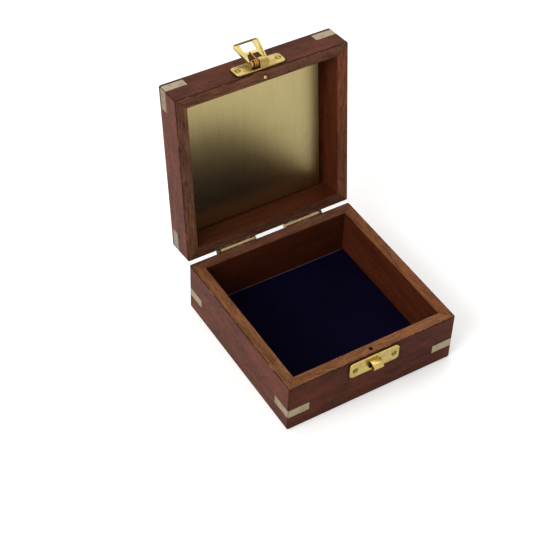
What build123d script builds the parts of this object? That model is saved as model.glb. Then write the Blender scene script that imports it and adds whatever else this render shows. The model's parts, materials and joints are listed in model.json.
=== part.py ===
from build123d import *
import os
from math import asin, atan2, cos, hypot, radians, sin

# Case sizes, in millimetres. The front, with the latch, faces -Y and the lid is hinged at +Y.
BOX_WIDTH = 108.0
BOX_DEPTH = 108.0
WALL = 7.0
BASE_HEIGHT = 33.0
LID_HEIGHT = 20.0
RIM_GAP = 0.8
OPEN_ANGLE = 96.0

# Rounded edges of the case
CORNER_ROUND = 1.0
FOOT_ROUND = 1.0
TOP_ROUND = 2.5
RIM_ROUND = 0.4

# Panels let into rebates in the walls, and the brass plate under the lid's top
REBATE = 3.0
BOTTOM_THICKNESS = 3.0
TOP_THICKNESS = 4.6
PLATE_THICKNESS = 1.0
PLATE_SIDE_GAP = 3.6
PLATE_END_GAP = 0.8

# Velvet pad on the floor
PAD_GAP = 0.4
PAD_BOARD = 1.5
VELVET = 0.8
PAD_CORNER = 1.5
PAD_ROUND = 0.5

# Brass strips let in round each corner
INLAY_LEG = 13.5
INLAY_HEIGHT = 5.6
INLAY_DEPTH = 1.6
BASE_INLAY_START = 10.0
LID_INLAY_START = 11.0

# Small slotted countersunk screws
SCREW_RADIUS = 0.75
SCREW_HEAD_RADIUS = 1.4
SCREW_LENGTH = 5.0
SLOT_WIDTH = 0.4
SLOT_DEPTH = 0.3
PILOT_CLEARANCE = 0.05

# Stop hinges on the rear faces
HINGE_LENGTH = 25.0
HINGE_CENTRE = 22.5
LEAF_THICKNESS = 0.9
LEAF_HEIGHT = 10.0
LEAF_SINK = 0.6
BARREL_RADIUS = 1.4
HINGE_PIN_RADIUS = 0.7
PIN_CLEARANCE = 0.05
KNUCKLE_COUNT = 3
KNUCKLE_GAP = 0.15
BARREL_CLEARANCE = 0.2
HINGE_SCREW_SPACING = 16.0
STOP_WIDTH = 2.0
STOP_REACH = 2.8
STOP_DROP = 4.0
STOP_PLAY = 0.05

# Plates of the latch
CATCH_PLATE_WIDTH = 32.2
CATCH_PLATE_HEIGHT = 10.6
HASP_PLATE_WIDTH = 30.8
HASP_PLATE_HEIGHT = 9.4
LATCH_THICKNESS = 1.2
LATCH_CORNER = 2.4
LATCH_EDGE_ROUND = 0.45
LATCH_SET = 1.2
LATCH_SCREW_SPACING = 25.2

# Tongue of the catch plate, bent out of a slot at its top edge and curled down
TONGUE_WIDTH = 6.2
TONGUE_THICKNESS = 0.8
TONGUE_CURL = 2.3
TONGUE_REACH = 5.5
TONGUE_DROP = 7.0
TONGUE_TIP = 1.0
SLOT_SIDE = 0.8
SLOT_MARGIN = 0.6
SLOT_CORNER = 1.5

# Pin of the hasp, and the knuckle rolled up from a slot in the hasp plate to carry it
HASP_PIN_OUT = 3.2
HASP_PIN_HEIGHT = 4.4
HASP_PIN_RADIUS = 0.9
HASP_KNUCKLE_RADIUS = 2.6
HASP_KNUCKLE_WIDTH = 5.2
HASP_KNUCKLE_SHEET = 0.8
EAR_PLAY = 0.15
HASP_SLOT_HEIGHT = 4.7

# Hasp: a tapered sheet with a window, flanges that grow towards the pin, and two ears
HASP_SWING = 158.0
HASP_SHEET = 0.8
HASP_SHEET_START = 0.95
HASP_EAR_RADIUS = 1.75
HASP_FLANGE_AT_PIN = 1.4
HASP_FLANGE_AT_END = 0.3
HASP_PIVOT_WIDTH = 10.8
HASP_END_WIDTH = 16.5
HASP_END_BAR = 0.7
HASP_CORNER = 1.6
HASP_WINDOW_WIDTH = 8.2
HASP_WINDOW_LENGTH = 6.2
HASP_CROSSBAR = 1.9
THROAT_END_WIDTH = 6.6

# Spring wound round the hasp's pin beside the knuckle, with one leg on the hasp's cross-bar
SPRING_WIRE_RADIUS = 0.4
SPRING_RADIUS = 1.85
SPRING_PITCH = 0.9
SPRING_TURNS = 3

# Pin in the lid's front rim that drops into a hole in the base's front rim
LOCATOR_RADIUS = 1.1
LOCATOR_PROUD = 2.2
LOCATOR_SEAT = 5.0
LOCATOR_CLEARANCE = 0.2
LOCATOR_SET = 3.4
LOCATOR_HOLE_DEPTH = 3.0

# Hinge axis, and the frames of the base, the open lid and the raised hasp
hinge_y = BOX_DEPTH / 2 + BARREL_RADIUS - LEAF_SINK
hinge_z = BASE_HEIGHT + RIM_GAP / 2
hasp_pin_y = -BOX_DEPTH / 2 - HASP_PIN_OUT
BASE = Plane.XY
HINGE = Location((0, hinge_y, hinge_z), (-OPEN_ANGLE, 0, 0))
LID = Plane(HINGE * Location((0, -hinge_y, RIM_GAP / 2)))
HASP = Plane(LID.location * Location((0, hasp_pin_y, HASP_PIN_HEIGHT), (90 - HASP_SWING, 0, 0)))

FRONT_LEFT = (-1, -1)
FRONT_RIGHT = (1, -1)
REAR_RIGHT = (1, 1)
REAR_LEFT = (-1, 1)
CORNERS = {
    "front_left": FRONT_LEFT,
    "front_right": FRONT_RIGHT,
    "rear_right": REAR_RIGHT,
    "rear_left": REAR_LEFT,
}
SIDES = {
    "front": (FRONT_LEFT, FRONT_RIGHT),
    "right": (FRONT_RIGHT, REAR_RIGHT),
    "rear": (REAR_RIGHT, REAR_LEFT),
    "left": (REAR_LEFT, FRONT_LEFT),
}
HINGES = {"left": -HINGE_CENTRE, "right": HINGE_CENTRE}

os.makedirs("parts", exist_ok=True)


def save(builder, name):
    """Label a finished piece and write it as one STEP file."""
    builder.part.label = name
    export_step(builder.part, f"parts/{name}.step")


def up(frame):
    """Direction from the foot to the top of the base or the lid."""
    return Axis(frame.origin, frame.z_dir)


def section(frame, x):
    """Plane across the box at x. Its coordinates are the frame's y and z."""
    return Plane(frame.from_local_coords((x, 0, 0)), x_dir=frame.y_dir, z_dir=frame.x_dir)


def front_face(frame, out=0.0):
    """Plane on the front face, or proud of it. Its coordinates are the frame's x and z."""
    origin = frame.from_local_coords((0, -BOX_DEPTH / 2 - out, 0))
    return Plane(origin, x_dir=frame.x_dir, z_dir=-frame.y_dir)


def rear_face(frame, out=0.0):
    """Plane on the rear face, or proud of it. Its coordinates are the frame's -x and z."""
    origin = frame.from_local_coords((0, BOX_DEPTH / 2 + out, 0))
    return Plane(origin, x_dir=-frame.x_dir, z_dir=frame.y_dir)


# Screws, and the holes that they go in

screw_head_depth = SCREW_HEAD_RADIUS - SCREW_RADIUS
INTO_FACE = (Align.CENTER, Align.CENTER, Align.MAX)


def hinge_screw_points(hinge_axis_z, side):
    """Screw places on a rear face, side being -1 below the hinge axis and 1 above it."""
    height = hinge_axis_z + side * (LEAF_HEIGHT + BARREL_RADIUS) / 2
    offsets = (-HINGE_SCREW_SPACING / 2, HINGE_SCREW_SPACING / 2)
    return [(centre + offset, height) for centre in HINGES.values() for offset in offsets]


def latch_screw_points(height):
    """Screw places on a front face, at the height of the plate's middle."""
    return [(-LATCH_SCREW_SPACING / 2, height), (LATCH_SCREW_SPACING / 2, height)]


def screws(face, points):
    """Slotted screws with their heads flush with the face."""
    with BuildPart(face) as group:
        with Locations(*points):
            Cylinder(SCREW_RADIUS, SCREW_LENGTH, align=INTO_FACE)
            Cone(SCREW_RADIUS, SCREW_HEAD_RADIUS, screw_head_depth, align=INTO_FACE)
            Box(2 * SCREW_HEAD_RADIUS, SLOT_WIDTH, SLOT_DEPTH, align=INTO_FACE, mode=Mode.SUBTRACT)
    return group


# The case: a rounded frame of walls is cut and then mitred into four

catch_plate_middle = BASE_HEIGHT - LATCH_SET - CATCH_PLATE_HEIGHT / 2
hasp_plate_middle = LATCH_SET + HASP_PLATE_HEIGHT / 2
leaf_face_out = LEAF_THICKNESS - LEAF_SINK
locator_y = -BOX_DEPTH / 2 + LOCATOR_SET
inner_width = BOX_WIDTH - 2 * WALL
inner_depth = BOX_DEPTH - 2 * WALL


def corner_strip(corner):
    """Outline of the L-shaped strip round one corner, drawn in the current sketch."""
    x, y = corner
    outer_x, outer_y = BOX_WIDTH / 2, BOX_DEPTH / 2
    reach = [
        (0, 0),
        (INLAY_LEG, 0),
        (INLAY_LEG, INLAY_DEPTH),
        (INLAY_DEPTH, INLAY_DEPTH),
        (INLAY_DEPTH, INLAY_LEG),
        (0, INLAY_LEG),
    ]
    Polygon(*[(x * (outer_x - a), y * (outer_y - b)) for a, b in reach], align=None)


def wall_frame(frame, height, rim, panel_start, panel_thickness, inlay_start):
    """The four walls in one piece. rim is 0 or -1: the rim is the lowest or the highest face."""
    outside = -1 - rim
    with BuildPart() as walls:
        with BuildSketch(frame):
            Rectangle(BOX_WIDTH, BOX_DEPTH)
        extrude(amount=height)
        edge_round = TOP_ROUND if rim == 0 else FOOT_ROUND
        fillet(walls.edges().filter_by(up(frame)), CORNER_ROUND)
        fillet(walls.faces().sort_by(up(frame))[outside].edges(), edge_round)
        with BuildSketch(frame):
            Rectangle(inner_width, inner_depth)
        extrude(amount=height, mode=Mode.SUBTRACT)
        fillet(walls.faces().sort_by(up(frame))[rim].edges(), RIM_ROUND)
        with BuildSketch(frame.offset(panel_start)):
            Rectangle(inner_width + 2 * REBATE, inner_depth + 2 * REBATE)
        extrude(amount=panel_thickness, mode=Mode.SUBTRACT)
        with BuildSketch(frame.offset(inlay_start)):
            for corner in CORNERS.values():
                corner_strip(corner)
        extrude(amount=INLAY_HEIGHT, mode=Mode.SUBTRACT)
    return walls


def hinge_seats(frame, axis_z, side):
    """What the hinges take out of the rear wall: leaf and barrel seats, and pilot holes."""
    seat_start = axis_z if side > 0 else axis_z - LEAF_HEIGHT
    groove_length = HINGE_LENGTH + 2 * BARREL_CLEARANCE
    with BuildPart() as seats:
        with BuildSketch(rear_face(frame)):
            with Locations(*[(centre, seat_start + LEAF_HEIGHT / 2) for centre in HINGES.values()]):
                Rectangle(HINGE_LENGTH, LEAF_HEIGHT)
        extrude(amount=-LEAF_SINK)
        for centre in HINGES.values():
            with BuildSketch(section(frame, centre - groove_length / 2)):
                with Locations((hinge_y, axis_z)):
                    Circle(BARREL_RADIUS + BARREL_CLEARANCE)
            extrude(amount=groove_length)
        with BuildSketch(rear_face(frame)):
            with Locations(*hinge_screw_points(axis_z, side)):
                Circle(SCREW_RADIUS + PILOT_CLEARANCE)
        extrude(amount=leaf_face_out - SCREW_LENGTH)
    return seats


def latch_pilots(frame, height):
    """Pilot holes for the latch plate's screws in the front wall."""
    with BuildPart() as pilots:
        with BuildSketch(front_face(frame)):
            with Locations(*latch_screw_points(height)):
                Circle(SCREW_RADIUS + PILOT_CLEARANCE)
        extrude(amount=LATCH_THICKNESS - SCREW_LENGTH)
    return pilots


def mitred_wall(walls, frame, height, side):
    """One wall of the frame, between two 45 degree mitres."""
    first, second = SIDES[side]
    outer = [(x * BOX_WIDTH / 2, y * BOX_DEPTH / 2) for x, y in (first, second)]
    inner = [(x * inner_width / 2, y * inner_depth / 2) for x, y in (second, first)]
    with BuildPart() as wall:
        add(walls.part)
        with BuildSketch(frame):
            Polygon(*outer, *inner, align=None)
        extrude(amount=height, mode=Mode.INTERSECT)
    return wall


base_axis_z = hinge_z
base_frame = wall_frame(BASE, BASE_HEIGHT, -1, 0, BOTTOM_THICKNESS, BASE_INLAY_START)
base_seats = hinge_seats(BASE, base_axis_z, -1)
base_pilots = latch_pilots(BASE, catch_plate_middle)
with BuildPart() as base_walls:
    add(base_frame.part)
    add(base_seats.part, mode=Mode.SUBTRACT)
    add(base_pilots.part, mode=Mode.SUBTRACT)
    with Locations((0, locator_y, BASE_HEIGHT)):
        Hole(LOCATOR_RADIUS + LOCATOR_CLEARANCE, LOCATOR_HOLE_DEPTH)

lid_axis_z = -RIM_GAP / 2
top_start = LID_HEIGHT - TOP_THICKNESS
lid_frame = wall_frame(LID, LID_HEIGHT, 0, top_start, TOP_THICKNESS, LID_INLAY_START)
lid_seats = hinge_seats(LID, lid_axis_z, 1)
lid_pilots = latch_pilots(LID, hasp_plate_middle)
with BuildPart() as lid_walls:
    add(lid_frame.part)
    add(lid_seats.part, mode=Mode.SUBTRACT)
    add(lid_pilots.part, mode=Mode.SUBTRACT)
    with BuildSketch(LID):
        with Locations((0, locator_y)):
            Circle(LOCATOR_RADIUS)
    extrude(amount=LOCATOR_SEAT, mode=Mode.SUBTRACT)

for side in SIDES:
    save(mitred_wall(base_walls, BASE, BASE_HEIGHT, side), f"base_{side}_wall")
    save(mitred_wall(lid_walls, LID, LID_HEIGHT, side), f"lid_{side}_wall")


# Corner inlays, flush with the walls

def corner_inlay(frame, start, corner):
    with BuildPart() as inlay:
        with BuildSketch(frame.offset(start)):
            corner_strip(corner)
            RectangleRounded(BOX_WIDTH, BOX_DEPTH, CORNER_ROUND, mode=Mode.INTERSECT)
        extrude(amount=INLAY_HEIGHT)
    return inlay


for name, corner in CORNERS.items():
    save(corner_inlay(BASE, BASE_INLAY_START, corner), f"base_inlay_{name}")
    save(corner_inlay(LID, LID_INLAY_START, corner), f"lid_inlay_{name}")


# Bottom panel, and the velvet pad that lies on it

with BuildPart() as base_bottom_panel:
    with BuildSketch():
        Rectangle(inner_width + 2 * REBATE, inner_depth + 2 * REBATE)
    extrude(amount=BOTTOM_THICKNESS)
save(base_bottom_panel, "base_bottom_panel")

pad_width = inner_width - 2 * PAD_GAP
pad_depth = inner_depth - 2 * PAD_GAP
board_width = pad_width - 2 * VELVET
board_depth = pad_depth - 2 * VELVET

with BuildPart() as pad_board:
    with BuildSketch(Plane.XY.offset(BOTTOM_THICKNESS)):
        RectangleRounded(board_width, board_depth, PAD_CORNER - VELVET)
    extrude(amount=PAD_BOARD)
save(pad_board, "pad_board")

with BuildPart() as velvet_lining:
    with BuildSketch(Plane.XY.offset(BOTTOM_THICKNESS)):
        RectangleRounded(pad_width, pad_depth, PAD_CORNER)
    extrude(amount=PAD_BOARD + VELVET)
    fillet(velvet_lining.faces().sort_by(Axis.Z)[-1].edges(), PAD_ROUND)
    with BuildSketch(Plane.XY.offset(BOTTOM_THICKNESS)):
        RectangleRounded(board_width, board_depth, PAD_CORNER - VELVET)
    extrude(amount=PAD_BOARD, mode=Mode.SUBTRACT)
save(velvet_lining, "velvet_lining")


# Top panel of the lid, and the brass plate on its underside

with BuildPart() as lid_top_panel:
    with BuildSketch(LID.offset(top_start)):
        Rectangle(inner_width + 2 * REBATE, inner_depth + 2 * REBATE)
    extrude(amount=TOP_THICKNESS)
save(lid_top_panel, "lid_top_panel")

with BuildPart() as lid_brass_plate:
    with BuildSketch(LID.offset(top_start - PLATE_THICKNESS)):
        Rectangle(inner_width - 2 * PLATE_SIDE_GAP, inner_depth - 2 * PLATE_END_GAP)
    extrude(amount=PLATE_THICKNESS)
save(lid_brass_plate, "lid_brass_plate")


# Hinges: each has three knuckles, the middle one on the lid's leaf

knuckle_length = (HINGE_LENGTH - (KNUCKLE_COUNT - 1) * KNUCKLE_GAP) / KNUCKLE_COUNT
knuckle_pitch = knuckle_length + KNUCKLE_GAP
leaf_clear = BARREL_RADIUS + BARREL_CLEARANCE
leaf_y = BOX_DEPTH / 2 - LEAF_SINK + LEAF_THICKNESS / 2
base_knuckles = range(0, KNUCKLE_COUNT, 2)
lid_knuckles = range(1, KNUCKLE_COUNT, 2)


def hinge_leaf(frame, axis_z, side, centre, knuckles):
    """Leaf on the rear face with its knuckles. side is -1 on the base and 1 on the lid."""
    left_end = centre - HINGE_LENGTH / 2
    with BuildPart() as leaf:
        with BuildSketch(section(frame, left_end)):
            with Locations((leaf_y, axis_z + side * (leaf_clear + LEAF_HEIGHT) / 2)):
                Rectangle(LEAF_THICKNESS, LEAF_HEIGHT - leaf_clear)
        extrude(amount=HINGE_LENGTH)
        for number in knuckles:
            with BuildSketch(section(frame, left_end + number * knuckle_pitch)):
                with Locations((hinge_y, axis_z)):
                    Circle(BARREL_RADIUS)
                with Locations((leaf_y, axis_z + side * leaf_clear / 2)):
                    Rectangle(LEAF_THICKNESS, leaf_clear)
            extrude(amount=knuckle_length)
        with BuildSketch(section(frame, left_end)):
            with Locations((hinge_y, axis_z)):
                Circle(HINGE_PIN_RADIUS + PIN_CLEARANCE)
        extrude(amount=HINGE_LENGTH, mode=Mode.SUBTRACT)
        with Locations(rear_face(frame, leaf_face_out)):
            points = hinge_screw_points(axis_z, side)
            with Locations(*[point for point in points if abs(point[0] + centre) < HINGE_LENGTH / 2]):
                CounterSinkHole(SCREW_RADIUS, SCREW_HEAD_RADIUS, LEAF_THICKNESS)
    return leaf


def open_face_point(along):
    """Point of the lid leaf's outer face when open, at a distance along it from the hinge axis."""
    turn = radians(OPEN_ANGLE)
    across = LEAF_THICKNESS - BARREL_RADIUS + STOP_PLAY
    y = hinge_y + across * cos(turn) + along * sin(turn)
    z = hinge_z - across * sin(turn) + along * cos(turn)
    return (y, z)


leaf_back_y = hinge_y - BARREL_RADIUS
stop_outline = [
    open_face_point(HINGE_PIN_RADIUS + PIN_CLEARANCE),
    open_face_point(STOP_REACH),
    (leaf_back_y + LEAF_THICKNESS, hinge_z - leaf_clear - STOP_DROP),
    (leaf_back_y, hinge_z - leaf_clear - STOP_DROP),
    (leaf_back_y, hinge_z - leaf_clear),
]

for name, centre in HINGES.items():
    plain_leaf = hinge_leaf(BASE, base_axis_z, -1, centre, base_knuckles)
    # Gussets at both ends of the base leaf, which the open lid's leaf comes to rest on
    with BuildPart() as base_leaf:
        add(plain_leaf.part)
        for start in (centre - HINGE_LENGTH / 2, centre + HINGE_LENGTH / 2 - STOP_WIDTH):
            with BuildSketch(section(BASE, start)):
                Polygon(*stop_outline, align=None)
                with Locations((hinge_y, hinge_z)):
                    Circle(HINGE_PIN_RADIUS + PIN_CLEARANCE, mode=Mode.SUBTRACT)
            extrude(amount=STOP_WIDTH)
    save(base_leaf, f"base_hinge_leaf_{name}")
    save(hinge_leaf(LID, lid_axis_z, 1, centre, lid_knuckles), f"lid_hinge_leaf_{name}")
    with BuildPart() as hinge_pin:
        with BuildSketch(section(BASE, centre - HINGE_LENGTH / 2)):
            with Locations((hinge_y, hinge_z)):
                Circle(HINGE_PIN_RADIUS)
        extrude(amount=HINGE_LENGTH)
    save(hinge_pin, f"hinge_pin_{name}")

base_hinge_points = hinge_screw_points(base_axis_z, -1)
lid_hinge_points = hinge_screw_points(lid_axis_z, 1)
save(screws(rear_face(BASE, leaf_face_out), base_hinge_points), "base_hinge_screws")
save(screws(rear_face(LID, leaf_face_out), lid_hinge_points), "lid_hinge_screws")


# Latch plates

def latch_plate(frame, width, height, middle):
    """Rounded plate on the front face, with two countersunk screw holes."""
    face = front_face(frame)
    with BuildPart() as plate:
        with BuildSketch(face):
            with Locations((0, middle)):
                RectangleRounded(width, height, LATCH_CORNER)
        extrude(amount=LATCH_THICKNESS)
        outward = Axis(face.origin, face.z_dir)
        fillet(plate.faces().sort_by(outward)[-1].edges(), LATCH_EDGE_ROUND)
        with Locations(front_face(frame, LATCH_THICKNESS)):
            with Locations(*latch_screw_points(middle)):
                CounterSinkHole(SCREW_RADIUS, SCREW_HEAD_RADIUS, LATCH_THICKNESS)
    return plate


tongue_z = BASE_HEIGHT - TONGUE_DROP
tongue_y = -BOX_DEPTH / 2 - TONGUE_REACH + TONGUE_CURL
tongue_top = tongue_z + TONGUE_CURL
tongue_middle = TONGUE_CURL - TONGUE_THICKNESS / 2
root_foot = tongue_top - TONGUE_THICKNESS
slot_top = tongue_top + SLOT_MARGIN
slot_bottom = tongue_z - TONGUE_CURL - SLOT_MARGIN

plain_catch_plate = latch_plate(BASE, CATCH_PLATE_WIDTH, CATCH_PLATE_HEIGHT, catch_plate_middle)
with BuildPart() as catch_plate:
    add(plain_catch_plate.part)
    with BuildSketch(front_face(BASE)):
        with Locations((0, (slot_bottom + slot_top) / 2)):
            RectangleRounded(TONGUE_WIDTH + 2 * SLOT_SIDE, slot_top - slot_bottom, SLOT_CORNER)
    extrude(amount=LATCH_THICKNESS, mode=Mode.SUBTRACT)
    with BuildSketch(section(BASE, -TONGUE_WIDTH / 2)):
        with Locations((tongue_y, tongue_z)):
            Circle(TONGUE_CURL)
            Circle(TONGUE_CURL - TONGUE_THICKNESS, mode=Mode.SUBTRACT)
        with Locations((tongue_y + TONGUE_CURL / 2, tongue_z)):
            Rectangle(TONGUE_CURL, 2 * TONGUE_CURL, mode=Mode.SUBTRACT)
        with Locations((-BOX_DEPTH / 2, root_foot)):
            Rectangle(-BOX_DEPTH / 2 - tongue_y, TONGUE_THICKNESS, align=(Align.MAX, Align.MIN))
            Rectangle(LATCH_THICKNESS, TONGUE_THICKNESS + 2 * SLOT_MARGIN, align=(Align.MAX, Align.MIN))
        with Locations((tongue_y + TONGUE_TIP / 2, tongue_z - tongue_middle)):
            Rectangle(TONGUE_TIP, TONGUE_THICKNESS)
    extrude(amount=TONGUE_WIDTH)
save(catch_plate, "catch_plate")
save(screws(front_face(BASE, LATCH_THICKNESS), latch_screw_points(catch_plate_middle)), "catch_plate_screws")

ear_inside = HASP_PIVOT_WIDTH / 2 - HASP_SHEET
knuckle_end = ear_inside - EAR_PLAY
knuckle_start = knuckle_end - HASP_KNUCKLE_WIDTH
knuckle_foot = HASP_PIN_HEIGHT - HASP_KNUCKLE_RADIUS
hasp_slot_start = knuckle_foot + HASP_KNUCKLE_SHEET

plain_hasp_plate = latch_plate(LID, HASP_PLATE_WIDTH, HASP_PLATE_HEIGHT, hasp_plate_middle)
with BuildPart() as hasp_plate:
    add(plain_hasp_plate.part)
    with BuildSketch(front_face(LID)):
        with Locations((0, hasp_slot_start + HASP_SLOT_HEIGHT / 2)):
            Rectangle(2 * knuckle_end, HASP_SLOT_HEIGHT)
    extrude(amount=LATCH_THICKNESS, mode=Mode.SUBTRACT)
    with BuildSketch(section(LID, knuckle_start)):
        with Locations((hasp_pin_y, HASP_PIN_HEIGHT)):
            Circle(HASP_KNUCKLE_RADIUS)
        with Locations((-BOX_DEPTH / 2, knuckle_foot)):
            Rectangle(HASP_PIN_OUT, HASP_KNUCKLE_SHEET, align=(Align.MAX, Align.MIN))
        with Locations((hasp_pin_y, HASP_PIN_HEIGHT)):
            Circle(HASP_PIN_RADIUS + PIN_CLEARANCE, mode=Mode.SUBTRACT)
    extrude(amount=HASP_KNUCKLE_WIDTH)
save(hasp_plate, "hasp_plate")
save(screws(front_face(LID, LATCH_THICKNESS), latch_screw_points(hasp_plate_middle)), "hasp_plate_screws")


# Hasp, drawn flat: its pin is at the origin, its free end at -y, and its outer side faces +z

window_middle = HASP_PIN_HEIGHT + RIM_GAP + TONGUE_DROP
window_start = window_middle - HASP_WINDOW_LENGTH / 2
window_end = window_middle + HASP_WINDOW_LENGTH / 2
hasp_length = window_end + HASP_END_BAR
throat_end = window_start - HASP_CROSSBAR
sheet_outside = HASP_SHEET_START + HASP_SHEET


def half_width(distance):
    """Half the hasp's width at a distance from its pin. Its ears are parallel behind the pin."""
    share = max(distance, 0) / hasp_length
    return (HASP_PIVOT_WIDTH + share * (HASP_END_WIDTH - HASP_PIVOT_WIDTH)) / 2


def symmetric(points):
    """Closed outline from the points of its right half, given as half-width and distance from the pin."""
    right = [(width, -distance) for width, distance in points]
    left = [(-width, -distance) for width, distance in reversed(points)]
    Polygon(*right, *left, align=None)


def hasp_outline(inset, end):
    """The hasp's tapered outline, or what lies inside its flanges, up to a distance from the pin."""
    symmetric([(half_width(distance) - inset, distance) for distance in (-HASP_EAR_RADIUS, 0, end)])


side_view = [
    (0, -HASP_FLANGE_AT_PIN + HASP_SHEET_START),
    (0, sheet_outside),
    (-hasp_length, sheet_outside),
    (-hasp_length, HASP_SHEET_START - HASP_FLANGE_AT_END),
]
throat = [
    (half_width(0) - HASP_SHEET, -HASP_EAR_RADIUS),
    (half_width(0) - HASP_SHEET, HASP_KNUCKLE_RADIUS),
    (THROAT_END_WIDTH / 2, throat_end),
]

with BuildPart() as hasp:
    with BuildSketch(HASP.offset(-HASP_EAR_RADIUS)) as outside:
        hasp_outline(0, hasp_length)
        fillet(outside.vertices().group_by(Axis.Y)[0], HASP_CORNER)
    extrude(amount=HASP_EAR_RADIUS + sheet_outside)
    with BuildSketch(HASP.offset(-HASP_EAR_RADIUS)) as inside:
        hasp_outline(HASP_SHEET, window_end)
        fillet(inside.vertices().group_by(Axis.Y)[0], HASP_CORNER - HASP_SHEET)
    extrude(amount=HASP_EAR_RADIUS + HASP_SHEET_START, mode=Mode.SUBTRACT)
    with BuildSketch(HASP.offset(HASP_SHEET_START)):
        symmetric(throat)
        with Locations((0, -window_middle)):
            Rectangle(HASP_WINDOW_WIDTH, HASP_WINDOW_LENGTH)
    extrude(amount=HASP_SHEET, mode=Mode.SUBTRACT)
    with BuildSketch(section(HASP, -HASP_END_WIDTH / 2)):
        Polygon(*side_view, align=None)
        Circle(HASP_EAR_RADIUS)
        Circle(HASP_PIN_RADIUS, mode=Mode.SUBTRACT)
    extrude(amount=HASP_END_WIDTH, mode=Mode.INTERSECT)
save(hasp, "hasp")

with BuildPart() as hasp_pin:
    with BuildSketch(section(HASP, -HASP_PIVOT_WIDTH / 2)):
        Circle(HASP_PIN_RADIUS)
    extrude(amount=HASP_PIVOT_WIDTH)
save(hasp_pin, "hasp_pin")

# The spring's leg leaves the coil along a tangent and ends resting on the cross-bar
leg_end_distance = throat_end + HASP_CROSSBAR / 2
leg_end_rise = SPRING_WIRE_RADIUS - HASP_SHEET_START
leg_angle = atan2(leg_end_rise, leg_end_distance) - asin(SPRING_RADIUS / hypot(leg_end_distance, leg_end_rise))
leg_length = hypot(leg_end_distance, leg_end_rise) * cos(asin(SPRING_RADIUS / hypot(leg_end_distance, leg_end_rise)))
coil_end = knuckle_start - EAR_PLAY - SPRING_WIRE_RADIUS
coil_radius_dir = (0, sin(leg_angle), -cos(leg_angle))
coil_plane = Plane(
    HASP.from_local_coords((coil_end, 0, 0)),
    x_dir=HASP.from_local_coords(coil_radius_dir) - HASP.origin,
    z_dir=-HASP.x_dir,
)
coil = coil_plane * Helix(SPRING_PITCH, SPRING_PITCH * SPRING_TURNS, SPRING_RADIUS, lefthand=True)

with BuildPart() as hasp_spring:
    with BuildSketch(Plane(coil @ 0, z_dir=coil % 0)):
        Circle(SPRING_WIRE_RADIUS)
    sweep(path=coil)
    with BuildSketch(Plane(coil @ 0, z_dir=coil_plane.y_dir)):
        Circle(SPRING_WIRE_RADIUS)
    extrude(amount=leg_length)
save(hasp_spring, "hasp_spring")


# Locating pin, seated in the lid's front rim, with a domed tip

with BuildPart() as locating_pin:
    with BuildSketch(LID.offset(-LOCATOR_PROUD)):
        with Locations((0, locator_y)):
            Circle(LOCATOR_RADIUS)
    extrude(amount=LOCATOR_PROUD + LOCATOR_SEAT)
    fillet(locating_pin.faces().sort_by(up(LID))[0].edges(), LOCATOR_RADIUS * 0.8)
save(locating_pin, "locating_pin")
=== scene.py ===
# %% [markdown]
# # A hinged box in stained hardwood and brass
#
# The real object is a small square case, about as wide as a hand. Its lid stands open on two
# stop hinges, and it would close with a snap hasp. The fixed frame that is loaded here holds
# every rigid piece at its true size. This lesson dresses that frame: it gives each surface the
# finish of the real one, and rebuilds the pieces whose look depends on softness or on fine
# rounded edges.

import json
from math import copysign, cos, pi, radians, sin

import bmesh
import bpy
from mathutils import Matrix, Vector
from mathutils.noise import noise as noise_at


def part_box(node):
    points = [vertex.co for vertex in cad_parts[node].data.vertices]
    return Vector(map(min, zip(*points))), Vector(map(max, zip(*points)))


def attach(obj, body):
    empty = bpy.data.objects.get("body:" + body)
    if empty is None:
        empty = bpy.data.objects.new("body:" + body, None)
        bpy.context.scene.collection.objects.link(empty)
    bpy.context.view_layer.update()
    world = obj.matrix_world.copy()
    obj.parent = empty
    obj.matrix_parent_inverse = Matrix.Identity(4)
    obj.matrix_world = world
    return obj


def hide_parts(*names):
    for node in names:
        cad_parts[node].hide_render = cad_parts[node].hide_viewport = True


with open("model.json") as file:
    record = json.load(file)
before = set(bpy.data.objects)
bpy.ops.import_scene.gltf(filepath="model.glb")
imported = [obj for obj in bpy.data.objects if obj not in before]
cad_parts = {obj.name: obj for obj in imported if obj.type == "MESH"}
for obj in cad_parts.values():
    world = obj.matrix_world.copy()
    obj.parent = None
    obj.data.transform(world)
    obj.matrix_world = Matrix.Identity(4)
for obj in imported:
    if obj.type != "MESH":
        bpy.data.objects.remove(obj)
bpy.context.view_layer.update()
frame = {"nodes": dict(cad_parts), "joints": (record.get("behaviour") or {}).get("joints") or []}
MM = 0.001
print("pieces in the frame:", len(frame["nodes"]))

# %% [markdown]
# ## Two places to measure from
#
# The base stands level, but the lid leans back past upright, so a pattern that follows the
# base would run askew on the lid. The lid's hinge says how far it has turned. Turning a point
# back by that angle gives its place in the closed lid, and both halves can then be measured
# in the same way: x across, y from front to back and z away from the rim.

# %% Frames of the base and the lid
hinge = next(joint for joint in frame["joints"] if joint["name"] == "lid_hinge")
HINGE_POINT = Vector(hinge["pos_m"])
OPEN_TURN = radians(hinge["range_deg"][1])
RIM_GAP = 0.8 * MM

BASE_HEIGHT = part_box("base_front_wall")[1].z
closed_lid = Vector((0, 0, BASE_HEIGHT + RIM_GAP))
opening = Matrix.Rotation(-OPEN_TURN, 3, "X")
LID_ORIGIN = HINGE_POINT + opening @ (closed_lid - HINGE_POINT)
BASE_PLACE = {"Origin": (0, 0, BASE_HEIGHT), "Turn": (pi, 0, 0)}
LID_PLACE = {"Origin": tuple(LID_ORIGIN), "Turn": (-OPEN_TURN, 0, 0)}
print("lid rim centre in mm:", [round(value / MM, 2) for value in LID_ORIGIN])

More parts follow.
